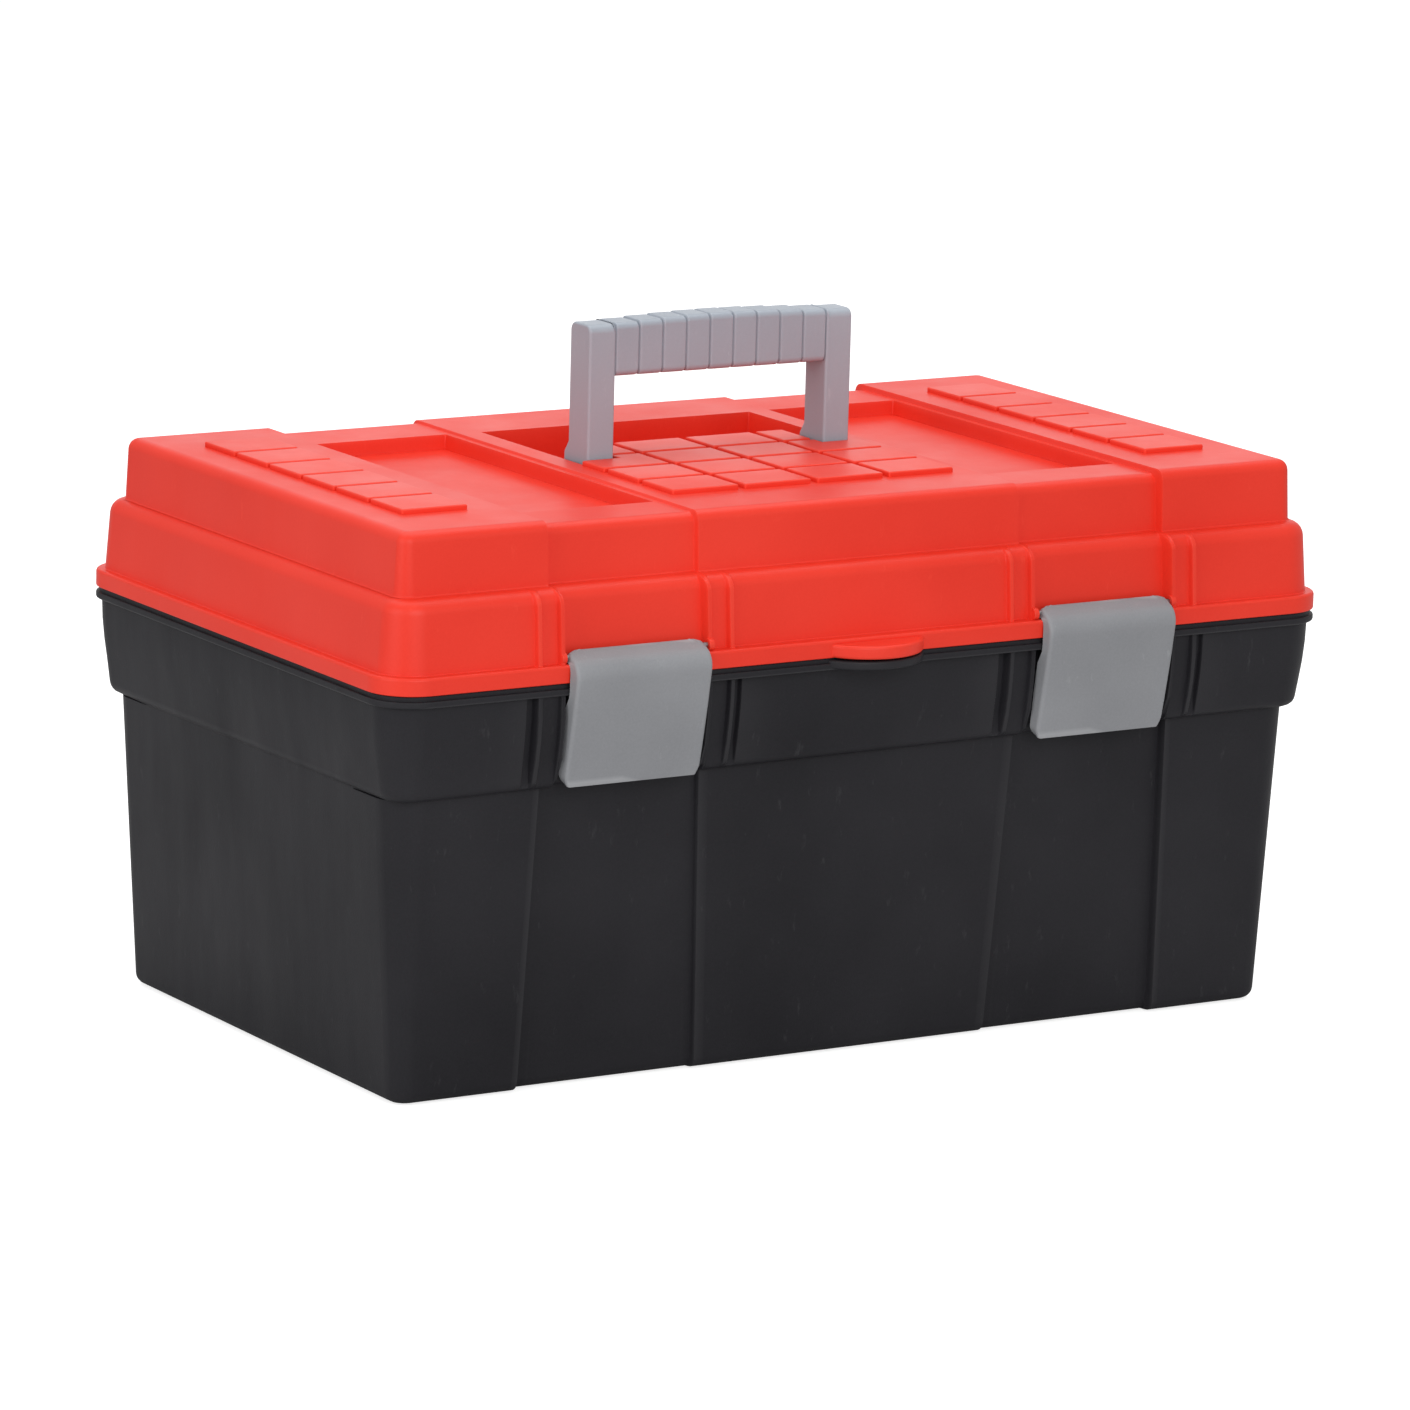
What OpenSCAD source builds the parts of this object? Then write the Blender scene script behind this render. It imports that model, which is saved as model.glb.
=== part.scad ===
// Moulded plastic tool box: a deep tub, a hinged lid, a folding carry handle,
// two snap latches and a lift-out tray.
// X runs along the length, the latches face -Y, +Z is up.
// The origin is the centre of the underside. Lengths are millimetres.

/* [Overall] */
// Length over the lid flange
box_length = 430; // [410:1:460]
// Width over the lid flange, without latches and hinges
box_width = 256; // [250:1:280]
// Corner radius of the flange in plan
flange_r = 18; // [17:0.5:20]

/* [Heights] */
// Underside of the collar, where the tub steps out
collar_z = 121; // [110:1:122]
// Underside of the rim band
band_z = 157.5; // [156:0.5:159]
// Top of the tub rim, under the lid flange
rim_z = 162; // [161:0.25:163]
// Top of the lid flange
flange_top_z = 169.3; // [169:0.1:170]
// Shoulder between the two tiers of the lid
shoulder_z = 197.5; // [195:0.5:199]
// Flat top of the lid
lid_top_z = 222; // [221:0.5:224]
// Height of the raised pads and tiles
pad_h = 2; // [1:0.25:3]

/* [Walls] */
// Wall of the tub
tub_wall = 2.4; // [2:0.1:2.6]
// Wall of the lid
lid_wall = 2.3; // [2:0.1:2.5]
// How far the fins stand out of the wall
fin_out = 2.4; // [1.5:0.1:3]
// How far the latch bays are set back
bay_depth = 3.8; // [3:0.1:4]
// How far the middle section is set back
middle_depth = 1.6; // [1:0.1:2]
// How much lower the lid's top is over the latch bays
bay_drop = 2; // [1:0.1:3]
// How much lower the lid's top is in the middle
middle_drop = 1; // [0.5:0.1:2]
// Gap between pieces that close on each other
gap = 0.3; // [0.2:0.05:0.4]

/* [Latches and hinges] */
// Distance of each latch and hinge from the middle
latch_x = 107; // [104:0.5:108]
// Width of a latch
latch_w = 60; // [50:0.5:61]
// Sheet thickness of a latch
latch_t = 1.8; // [1.6:0.1:2]
// Radius of the latch pins
latch_pin_r = 1; // [0.9:0.05:1.1]
// Radius of the hinge pins
hinge_pin_r = 1.75; // [1.5:0.05:1.8]
// Outer radius of a hinge knuckle
knuckle_r = 3.6; // [3.4:0.1:3.7]
// How far the thumb tab reaches out of the flange
tab_reach = 12; // [9:0.5:14]

/* [Carry handle] */
// Half the length of the handle
handle_half = 61; // [58:0.5:61]
// Width of a handle leg
leg_w = 12; // [10:0.5:12]
// Depth of the handle, front to back
handle_d = 15.5; // [12:0.5:15.5]
// Underside of the grip
grip_z0 = 255; // [250:1:258]
// Top of the grip at its ends
grip_z1 = 276; // [270:0.5:278]
// Rise of the arched grip in its middle
grip_arch = 1.7; // [1:0.1:3]
// Number of ribbed segments on the grip
grip_segments = 9; // [5:1:11]
// Radius of the handle pins
handle_pin_r = 2.5; // [2:0.25:3]

/* [Lift-out tray] */
// Height of the tray's outer wall
tray_h = 30; // [20:1:34]
// Wall of the tray
tray_wall = 1.8; // [1.5:0.1:2.5]

/* [Hidden] */
$fn = 48;
tub_colour = [0.15, 0.15, 0.16];
lid_colour = [0.93, 0.26, 0.17];
grey_plastic = [0.55, 0.56, 0.57];
handle_grey = [0.62, 0.59, 0.62];
steel = [0.7, 0.71, 0.72];
fit = 0.05;     // radial clearance round a pin
overlap = 0.5;  // how far joined solids run into each other
above = 10;     // how far a cut runs on above the lid

// The walls are drawn as a line of [distance, height] points, where the distance
// is measured outward from the centre of the rounded corners.
rim_corner = [box_length / 2 - flange_r, box_width / 2 - flange_r];
tub_corner = rim_corner - [5.1, 7.5];
upper_corner = rim_corner + [1.2, -1];
half_width = box_width / 2;

// Five sections along the front and the back: ends, latch bays and middle.
lid_bay = [73.5, 140];
tub_bay = [70, 145];
fin_places = [64, 74, 139.5, 149.5];
fin_w = 2.3;

// Tub wall: foot radius, and distance of the wall at its foot and under the collar
foot_r = 4.5;
tub_low = 8.2;
tub_high = 14.8;
floor_t = 2.6;

// Collar and rim band
collar_low = 11.8;
collar_high = 15.6;
collar_r = 4.8;
ledge = 2;
tongue = [9.6, 11.6];
tongue_h = 5;
band_notch = 1.4;
web_w = 3;

// Lid tiers
tier_low = 14.4;
tier_taper = 2.1;
tier_r = 6;
shelf = 2;
upper_low = 6;
top_in = 0.5;
top_r = 4.4;
top_edge = 6;   // width of the top that belongs to the wall outlines

// Tool trays in the lid's top, pads and tiles
top_tray_x = [76.5, 137];
top_tray_y = [-83, 79];
top_tray_z = 214;
pad_x = [155.5, 184];
pad_pitch = 27.2;
pad_d = 25.2;
pad_first = -79;
pads_per_side = 6;
tile_x = [[1.5, 31.8], [34.6, 64.5]];
tile_pitch = 26.2;
tile_d = 23.6;
tile_first = -78.6;
tile_rows = 4;

// Handle pocket and pivot
pivot = [0.75, 213];
pocket_half = 62.8;
pocket_y = [22, 73];
pocket_z = 200.5;
plateau_half = 47.2;
slot_y = -9;
leg_gap = 0.4;
leg_edge = 3;          // cut of the top edges of a leg
leg_bulge = 3.2;       // rear bulge low on a leg, and its heights over the pivot
leg_bulge_z = [1, 4.5, 10.5, 15];
grip_round = 2.5;
groove_w = 1;
groove_depth = 0.9;
handle_bore = pocket_half + lid_wall + 1;

// Hinges: axis, and the knuckles along X measured from the hinge's middle
hinge_axis = [half_width - 1, rim_z + gap / 2];
lid_knuckle = 16;
tub_knuckle = 10;
knuckle_clear = 0.4;

// Latches, drawn as [distance in front of the flange, height]
latch_axis = [-half_width + 3.4, flange_top_z + 2.2];
latch_lip = [-4.5, 174];
latch_curl = [-3.3, 164.2];
latch_curl_r = 8;
latch_curl_from = 115;
latch_front = [[2, 148], [-1.3, 132], [-3.8, 121]];
latch_back = [
    [-6.6, 123.6], [-5.6, 131], [-4.2, 141], [-2.6, 152],
    [0.6, 157], [0.6, 167.4], [-0.3, 169], [-1.8, 169.9]
];
latch_catch = [[2.4, 156.4], [-3.3, 156.4], [-3.7, 155.8], [-1, 152], [1.4, 150.5]];
latch_barrel_r = 1.7;
latch_round = 3;
latch_corner = [1.2, 3];
catch_w = 44;
// Bosses on the fins beside a latch take the ends of its pin
boss_r = 2.4;
boss_step = 0.3;
pin_seat = 0.4;

// Thumb tab
tab_half = 21;
tab_gap = 1.6;

// Tray
tray_half = [204.3, 113.5];
tray_r = 9;
tray_z = collar_z + tub_wall + gap;
tray_ribs = [-70, 70];
web_foot_half = 70;
web_top_half = 56;
web_z = 176;
web_t = 4;
rib_drop = 4;
finger_slot = [38, 161];
finger_slot_r = 7;

function unit(v) = v / norm(v);
function inward(a, b) = let (d = unit(b - a)) [-d[1], d[0]];
function arc(centre, r, from, to, steps) = [
    for (i = [0:steps])
        let (a = from + (to - from) * i / steps)
            centre + r * [cos(a), sin(a)]
];
// A line moved inward by d, with mitred joints
function inset_line(line, d) = [
    for (i = [0:len(line) - 1])
        let (
            before = i > 0 ? inward(line[i - 1], line[i]) : inward(line[0], line[1]),
            after = i < len(line) - 1 ? inward(line[i], line[i + 1]) : before,
            middle = unit(before + after)
        )
            line[i] + middle * d / (middle * before)
];
function reversed(line) = [for (i = [len(line) - 1:-1:0]) line[i]];

// Wall of the tub from the floor to the collar, set back by back
function tub_line(back) = concat(
    arc([tub_low - foot_r - back, foot_r], foot_r, -90, 0, 6),
    [[tub_high - back, collar_z + 1]]
);
function tub_wall_outline(back) = concat(
    tub_line(back),
    reversed(inset_line(tub_line(back), tub_wall))
);

// Collar, ledge, rim band and tongue, where the rim band stays straight
function collar_face(back) = concat(
    arc([collar_low - collar_r - back, collar_z + collar_r], collar_r, -90, -8, 6),
    [for (i = [1:4])
        let (t = i / 4)
            [collar_low + (collar_high - collar_low) * sin(90 * t) - back,
             collar_z + 5 + (band_z - collar_z - 5) * t]]
);
function rim_band() = [
    [flange_r - 0.4, band_z], [flange_r, band_z + 0.4],
    [flange_r, rim_z - 2.2], [flange_r - 0.4, rim_z - 1.8],
    [flange_r - band_notch, rim_z - 1.8], [flange_r - band_notch, rim_z]
];
function collar_outline(back) = concat(
    [[ledge - back, collar_z]],
    collar_face(back),
    rim_band(),
    [[tongue[1] - back, rim_z], [tongue[1] - back, rim_z + tongue_h - 0.5],
     [tongue[1] - back - 0.5, rim_z + tongue_h], [tongue[0] - back, rim_z + tongue_h],
     [tongue[0] - back, rim_z - 3]],
    reversed(inset_line(collar_face(back), tub_wall)),
    [[ledge - back, collar_z + tub_wall]]
);
// The web between two sections reaches from the front one to the back one. The
// tongue is left out there, because the lid has its own web at the same place.
function web_outline(front, rear) = concat(
    [[ledge - rear, collar_z]],
    collar_face(front),
    rim_band(),
    [[tongue[0] - rear, rim_z], [tongue[0] - rear, rim_z - 3]],
    reversed(inset_line(collar_face(rear), tub_wall)),
    [[ledge - rear, collar_z + tub_wall]]
);

// Lower tier of the lid: flange, wall and the shelf that carries the upper tier
function lower_face(back) = concat(
    [[tier_low - back, rim_z + gap], [tier_low - back, flange_top_z]],
    arc([tier_low - tier_taper - tier_r - back, shoulder_z - tier_r], tier_r, 0, 90, 6),
    [[shelf - back, shoulder_z]]
);
function lower_outline(front, rear) = concat(
    [[flange_r - 0.4, rim_z + gap], [flange_r, rim_z + gap + 0.4]],
    arc([flange_r - 2, flange_top_z - 2], 2, 0, 90, 4),
    [for (i = [1:len(lower_face(front)) - 1]) lower_face(front)[i]],
    reversed(inset_line(lower_face(rear), lid_wall))
);

// Upper tier of the lid, up to its flat top
function upper_face(back, drop) = concat(
    [[upper_low - back, shoulder_z - lid_wall]],
    [[upper_low - back, shoulder_z]],
    arc([top_in - back, lid_top_z - drop - top_r], top_r, 0, 90, 6)
);
function upper_outline(front, front_drop, rear, rear_drop, end) = concat(
    upper_face(front, front_drop),
    [[end, lid_top_z - front_drop], [end, lid_top_z - rear_drop - lid_wall]],
    reversed(inset_line(upper_face(rear, rear_drop), lid_wall))
);

module revolve_corners(corner, outline) {
    for (side = [0:3])
        translate([(side == 0 || side == 3 ? 1 : -1) * corner[0],
                   (side < 2 ? 1 : -1) * corner[1], 0])
            rotate(90 * side)
                rotate_extrude(angle = 90)
                    polygon(outline);
}

module run_along_y(corner, outline) {
    for (side = [0, 1])
        rotate(180 * side)
            translate([corner[0], corner[1], 0])
                rotate([90, 0, 0])
                    linear_extrude(2 * corner[1])
                        polygon(outline);
}

// A stretch of the front and back walls between two distances along X, on both sides
module run_along_x(corner, from, to, outline) {
    for (side = [0, 1], front = [0, 1])
        mirror([side, 0, 0])
            mirror([0, front, 0])
                translate([from, corner[1], 0])
                    rotate([90, 0, 90])
                        linear_extrude(to - from)
                            polygon(outline);
}

module on_both_sides() {
    for (side = [0, 1])
        mirror([side, 0, 0])
            children();
}

module plate(from, to) {
    translate(from)
        cube(to - from);
}

module along_x(from, to) {
    translate([from, 0, 0])
        rotate([90, 0, 90])
            linear_extrude(to - from)
                children();
}

// A round bar along X with its axis at [y, z]
module bar(axis, r, from, to) {
    translate([from, axis[0], axis[1]])
        rotate([0, 90, 0])
            cylinder(r = r, h = to - from);
}

module tub_fins() {
    fin = [
        [collar_low - 2, collar_z + 2.5], [collar_low + 1, collar_z + 2.5],
        [collar_low + fin_out, collar_z + 6], [collar_high + fin_out - 0.4, band_z - 8],
        [collar_high + fin_out - 0.4, band_z + 1], [collar_high - 2, band_z + 1]
    ];
    for (i = [0:len(fin_places) - 1])
        let (back = i < 2 ? middle_depth : 0)
            run_along_x(rim_corner, fin_places[i] - fin_w / 2, fin_places[i] + fin_w / 2,
                        [for (p = fin) p - [back, 0]]);
}

module lid_fins() {
    fin = concat(
        [[tier_low - 2, flange_top_z - 1], [tier_low + fin_out, flange_top_z - 1],
         [tier_low + fin_out - 1.2, shoulder_z - 11]],
        arc([tier_low + fin_out - 9, shoulder_z - 7.5], 7.5, 10, 90, 6),
        [[shelf + 2, shoulder_z]]
    );
    for (i = [0:len(fin_places) - 1])
        let (back = i < 2 ? middle_depth : 0)
            run_along_x(rim_corner, fin_places[i] - fin_w / 2, fin_places[i] + fin_w / 2,
                        [for (p = fin) p - [back, 0]]);
}

// Thumb tab in the middle of the front, a round outline in plan
module tab_outline(reach) {
    tab_r = (tab_half * tab_half + reach * reach) / (2 * reach);
    intersection() {
        translate([0, tab_r - reach - half_width])
            circle(r = tab_r);
        translate([-tab_half - reach, -half_width - reach])
            square([2 * (tab_half + reach), reach + 4]);
    }
}

module hinge_knuckles(base) {
    inner = base ? lid_knuckle / 2 + knuckle_clear : 0;
    outer = base ? inner + tub_knuckle : lid_knuckle / 2;
    for (side = [-1, 1], half = [-1, 1])
        let (near = side * latch_x + half * inner, far = side * latch_x + half * outer)
            bar(hinge_axis, knuckle_r, min(near, far), max(near, far));
}

module hinge_clearance(base) {
    inner = base ? 0 : lid_knuckle / 2;
    outer = base ? lid_knuckle / 2 + knuckle_clear : lid_knuckle / 2 + knuckle_clear * 2 + tub_knuckle;
    for (side = [-1, 1], half = [-1, 1])
        let (near = side * latch_x + half * inner, far = side * latch_x + half * outer)
            bar(hinge_axis, knuckle_r + knuckle_clear, min(near, far), max(near, far));
}

module hinge_bores() {
    reach = lid_knuckle / 2 + 2 * knuckle_clear + tub_knuckle;
    for (side = [-1, 1])
        bar(hinge_axis, hinge_pin_r + fit, side * latch_x - reach, side * latch_x + reach);
}

module base_shell() {
    color(tub_colour)
        difference() {
            union() {
                revolve_corners(tub_corner, tub_wall_outline(0));
                run_along_y(tub_corner, tub_wall_outline(0));
                run_along_x(tub_corner, tub_bay[1], tub_corner[0], tub_wall_outline(0));
                run_along_x(tub_corner, tub_bay[0], tub_bay[1], tub_wall_outline(bay_depth));
                run_along_x(tub_corner, 0, tub_bay[0], tub_wall_outline(middle_depth));
                run_along_x(tub_corner, tub_bay[1], tub_bay[1] + tub_wall,
                            concat(tub_line(0), reversed(inset_line(tub_line(bay_depth), tub_wall))));
                run_along_x(tub_corner, tub_bay[0] - tub_wall, tub_bay[0],
                            concat(tub_line(middle_depth),
                                   reversed(inset_line(tub_line(bay_depth), tub_wall))));
                tub_floor();
                revolve_corners(rim_corner, collar_outline(0));
                run_along_y(rim_corner, collar_outline(0));
                run_along_x(rim_corner, lid_bay[1] + web_w, rim_corner[0], collar_outline(0));
                run_along_x(rim_corner, lid_bay[0], lid_bay[1], collar_outline(bay_depth));
                run_along_x(rim_corner, 0, lid_bay[0] - web_w, collar_outline(middle_depth));
                run_along_x(rim_corner, lid_bay[1], lid_bay[1] + web_w, web_outline(0, bay_depth));
                run_along_x(rim_corner, lid_bay[0] - web_w, lid_bay[0],
                            web_outline(middle_depth, bay_depth));
                tub_fins();
                translate([0, 0, band_z + overlap])
                    linear_extrude(rim_z - band_z - 2 * overlap)
                        tab_outline(tab_reach - tab_gap);
                hinge_knuckles(true);
            }
            hinge_clearance(true);
            hinge_bores();
        }
}

module tub_floor() {
    reach = tub_low - foot_r - 1;
    on_both_sides() {
        plate([tub_bay[1] - 0.5, -tub_corner[1] - reach, 0],
              [tub_corner[0] + reach, tub_corner[1] + reach, floor_t]);
        plate([tub_bay[0] - 0.5, -tub_corner[1] - reach + bay_depth, 0],
              [tub_bay[1], tub_corner[1] + reach - bay_depth, floor_t]);
        plate([0, -tub_corner[1] - reach + middle_depth, 0],
              [tub_bay[0], tub_corner[1] + reach - middle_depth, floor_t]);
    }
}

module lid_walls() {
    bay = bay_depth;
    middle = middle_depth;
    revolve_corners(rim_corner, lower_outline(0, 0));
    run_along_y(rim_corner, lower_outline(0, 0));
    run_along_x(rim_corner, lid_bay[1], rim_corner[0], lower_outline(0, 0));
    run_along_x(rim_corner, lid_bay[0], lid_bay[1], lower_outline(bay, bay));
    run_along_x(rim_corner, 0, lid_bay[0], lower_outline(middle, middle));
    run_along_x(rim_corner, lid_bay[1], lid_bay[1] + lid_wall, lower_outline(0, bay));
    run_along_x(rim_corner, lid_bay[0] - lid_wall, lid_bay[0], lower_outline(middle, bay));
    revolve_corners(upper_corner, upper_outline(0, 0, 0, 0, 0));
    run_along_y(upper_corner, upper_outline(0, 0, 0, 0, 0));
    run_along_x(upper_corner, lid_bay[1], upper_corner[0], upper_outline(0, 0, 0, 0, -top_edge));
    run_along_x(upper_corner, lid_bay[0], lid_bay[1], upper_outline(bay, bay_drop, bay, bay_drop, -top_edge));
    run_along_x(upper_corner, 0, lid_bay[0],
                upper_outline(middle, middle_drop, middle, middle_drop, -top_edge));
    run_along_x(upper_corner, lid_bay[1], lid_bay[1] + lid_wall,
                upper_outline(0, 0, bay, bay_drop, -top_edge));
    run_along_x(upper_corner, lid_bay[0] - lid_wall, lid_bay[0],
                upper_outline(middle, middle_drop, bay, bay_drop, -top_edge));
}

module lid_top() {
    reach = upper_corner[1] - top_edge + 2 * overlap;
    on_both_sides() {
        plate([lid_bay[1], -reach, lid_top_z - lid_wall], [upper_corner[0] + overlap, reach, lid_top_z]);
        plate([lid_bay[0], -reach, lid_top_z - bay_drop - lid_wall],
              [lid_bay[1], reach, lid_top_z - bay_drop]);
        // Low webs that close the steps between the sections
        plate([lid_bay[1], -reach, lid_top_z - bay_drop - lid_wall],
              [lid_bay[1] + lid_wall, reach, lid_top_z]);
        plate([lid_bay[0] - lid_wall, -reach, lid_top_z - bay_drop - lid_wall],
              [lid_bay[0], reach, lid_top_z - middle_drop]);
    }
    plate([-lid_bay[0], -reach, lid_top_z - middle_drop - lid_wall],
          [lid_bay[0], reach, lid_top_z - middle_drop]);
}

// Shallow tool trays sunk in the bays: the walls when grown, the hollow when not
module top_trays(grow) {
    on_both_sides()
        plate([top_tray_x[0] - grow, top_tray_y[0] - grow, top_tray_z - grow],
              [top_tray_x[1] + grow, top_tray_y[1] + grow,
               grow > 0 ? lid_top_z - bay_drop : lid_top_z + above]);
}

module handle_pocket(grow) {
    floor_z = pocket_z - grow;
    plate([-pocket_half - grow, pocket_y[0] - grow, floor_z],
          [pocket_half + grow, pocket_y[1] + grow, grow > 0 ? lid_top_z - middle_drop : lid_top_z + above]);
    on_both_sides()
        plate([plateau_half - grow, slot_y - grow, floor_z],
              [pocket_half + grow, pocket_y[1] + grow, grow > 0 ? lid_top_z - middle_drop : lid_top_z + above]);
}

module raised_pads() {
    on_both_sides() {
        for (i = [0:pads_per_side - 1])
            plate([pad_x[0], pad_first + i * pad_pitch, lid_top_z - overlap],
                  [pad_x[1], pad_first + i * pad_pitch + pad_d, lid_top_z + pad_h]);
        for (column = tile_x, row = [0:tile_rows - 1])
            plate([column[0], tile_first + row * tile_pitch, lid_top_z - middle_drop - overlap],
                  [column[1], tile_first + row * tile_pitch + tile_d, lid_top_z - middle_drop + pad_h]);
    }
}

module latch_bosses() {
    on_both_sides()
        for (end = [-1, 1])
            let (middle = fin_places[end < 0 ? 1 : 2] - end * boss_step)
                bar(latch_axis, boss_r, middle - fin_w / 2, middle + fin_w / 2);
}

module lid_shell() {
    color(lid_colour)
        difference() {
            union() {
                lid_walls();
                lid_top();
                handle_pocket(lid_wall);
                top_trays(lid_wall);
                lid_fins();
                raised_pads();
                latch_bosses();
                translate([0, 0, rim_z + gap])
                    linear_extrude(flange_top_z - rim_z - gap - tab_gap)
                        tab_outline(tab_reach);
                hinge_knuckles(false);
            }
            handle_pocket(0);
            top_trays(0);
            hinge_clearance(false);
            hinge_bores();
            bar(pivot, handle_pin_r + fit, -handle_bore, handle_bore);
            on_both_sides()
                bar(latch_axis, latch_pin_r + fit, fin_places[1] - pin_seat, fin_places[2] + pin_seat);
        }
}

module leg_outline() {
    half = handle_d / 2;
    rear = pivot[0] + half;
    front = pivot[0] - half;
    translate(pivot)
        circle(r = half);
    polygon([
        [front, pivot[1]], [front, grip_z1 - leg_edge], [front + leg_edge, grip_z1],
        [rear - leg_edge, grip_z1], [rear, grip_z1 - leg_edge], [rear, pivot[1] + leg_bulge_z[3]],
        [rear + leg_bulge, pivot[1] + leg_bulge_z[2]], [rear + leg_bulge, pivot[1] + leg_bulge_z[1]],
        [rear, pivot[1] + leg_bulge_z[0]]
    ]);
}

// Rounded cross-section of the grip, smaller than the handle by less all round
module grip_outline(top, less) {
    half = handle_d / 2 - less - grip_round;
    low = grip_z0 + less + grip_round;
    high = top - less - grip_round;
    polygon(concat(
        arc([pivot[0] + half, low], grip_round, -90, 0, 4),
        arc([pivot[0] + half, high], grip_round, 0, 90, 4),
        arc([pivot[0] - half, high], grip_round, 90, 180, 4),
        arc([pivot[0] - half, low], grip_round, 180, 270, 4)
    ));
}

module carry_handle() {
    inner = handle_half - leg_w;
    segment = 2 * inner / grip_segments;
    color(handle_grey)
        difference() {
            union() {
                for (side = [-1, 1])
                    along_x(side > 0 ? inner + leg_gap : -handle_half + leg_gap / 2,
                            side > 0 ? handle_half - leg_gap / 2 : -inner - leg_gap)
                        leg_outline();
                along_x(-inner - 1, inner + 1)
                    grip_outline(grip_z1, groove_depth);
                for (i = [0:grip_segments - 1])
                    let (
                        from = -inner + i * segment + groove_w / 2,
                        middle = from + segment / 2,
                        rise = grip_arch * cos(90 * middle / inner)
                    )
                        along_x(from, from + segment - groove_w)
                            grip_outline(grip_z1 + rise, 0);
            }
            bar(pivot, handle_pin_r + fit, -handle_bore, handle_bore);
        }
}

// Points in front of the flange as [y, z]
function before_flange(points) = [for (p = points) [-half_width - p[0], p[1]]];

// Front face of a latch from the lip behind its curled top down to its foot
function latch_face() = concat(
    before_flange([latch_lip]),
    arc([-half_width - latch_curl[0], latch_curl[1]], latch_curl_r, latch_curl_from, 180, 8),
    before_flange(latch_front)
);

module latch_outline() {
    polygon(concat(latch_face(), reversed(inset_line(latch_face(), latch_t))));
    translate(latch_axis)
        circle(r = latch_barrel_r);
}

module latch_side_outline() {
    polygon(concat(latch_face(), before_flange(latch_back), [latch_axis]));
}

// Front view of a latch cover with its rounded top and cut bottom corners
module latch_front_view() {
    half = latch_w / 2;
    foot = latch_front[2][1];
    round_x = half - latch_round;
    round_z = latch_lip[1] - latch_round;
    polygon(concat(
        [[-half + latch_corner[0], foot - 1], [half - latch_corner[0], foot - 1],
         [half, foot + latch_corner[1]]],
        arc([round_x, round_z], latch_round, 0, 90, 5),
        arc([-round_x, round_z], latch_round, 90, 180, 5),
        [[-half, foot + latch_corner[1]]]
    ));
}

// One latch, centred on X
module latch() {
    half = latch_w / 2;
    color(grey_plastic)
        difference() {
            intersection() {
                union() {
                    along_x(-half, half)
                        latch_outline();
                    for (side = [-1, 1])
                        along_x(side > 0 ? half - latch_t : -half, side > 0 ? half : -half + latch_t)
                            latch_side_outline();
                    // Catch bead that hooks under the rim band
                    along_x(-catch_w / 2, catch_w / 2)
                        polygon(before_flange(latch_catch));
                }
                translate([0, -half_width + 15, 0])
                    rotate([90, 0, 0])
                        linear_extrude(30)
                            latch_front_view();
            }
            bar(latch_axis, latch_pin_r + fit, -half - 1, half + 1);
        }
}

module latch_left() {
    translate([-latch_x, 0, 0])
        latch();
}

module latch_right() {
    translate([latch_x, 0, 0])
        latch();
}

module pin(axis, r, middle, length) {
    color(steel)
        bar(axis, r, middle - length / 2, middle + length / 2);
}

module hinge_pin_left() {
    pin(hinge_axis, hinge_pin_r, -latch_x, lid_knuckle + 2 * (knuckle_clear + tub_knuckle));
}

module hinge_pin_right() {
    pin(hinge_axis, hinge_pin_r, latch_x, lid_knuckle + 2 * (knuckle_clear + tub_knuckle));
}

module latch_pin_left() {
    pin(latch_axis, latch_pin_r, -(fin_places[1] + fin_places[2]) / 2, fin_places[2] - fin_places[1]);
}

module latch_pin_right() {
    pin(latch_axis, latch_pin_r, (fin_places[1] + fin_places[2]) / 2, fin_places[2] - fin_places[1]);
}

module handle_pin_left() {
    pin(pivot, handle_pin_r, -(plateau_half + pocket_half) / 2, pocket_half - plateau_half + 2 * lid_wall);
}

module handle_pin_right() {
    pin(pivot, handle_pin_r, (plateau_half + pocket_half) / 2, pocket_half - plateau_half + 2 * lid_wall);
}

module rounded_block(half, r, from, to) {
    translate([0, 0, from])
        linear_extrude(to - from)
            polygon(concat(
                arc([half[0] - r, half[1] - r], r, 0, 90, 8),
                arc([-half[0] + r, half[1] - r], r, 90, 180, 8),
                arc([-half[0] + r, -half[1] + r], r, 180, 270, 8),
                arc([half[0] - r, -half[1] + r], r, 270, 360, 8)
            ));
}

module lift_out_tray() {
    top = tray_z + tray_h;
    inside = [tray_half[0] - tray_wall, tray_half[1] - tray_wall];
    color(tub_colour)
        difference() {
            union() {
                difference() {
                    rounded_block(tray_half, tray_r, tray_z, top);
                    rounded_block(inside, tray_r - tray_wall, tray_z + tray_wall, top + 1);
                }
                for (x = tray_ribs)
                    plate([x - tray_wall / 2, -inside[1] - overlap, tray_z + overlap],
                          [x + tray_wall / 2, inside[1] + overlap, top - rib_drop]);
                plate([-inside[0] - overlap, -web_t / 2, tray_z + overlap],
                      [inside[0] + overlap, web_t / 2, top - rib_drop]);
                tray_grip(top);
            }
            // Finger slot through the grip web
            translate([0, 10, 0])
                rotate([90, 0, 0])
                    linear_extrude(20)
                        polygon(concat(
                            arc(finger_slot, finger_slot_r, -90, 90, 8),
                            arc([-finger_slot[0], finger_slot[1]], finger_slot_r, 90, 270, 8)
                        ));
        }
}

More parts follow.
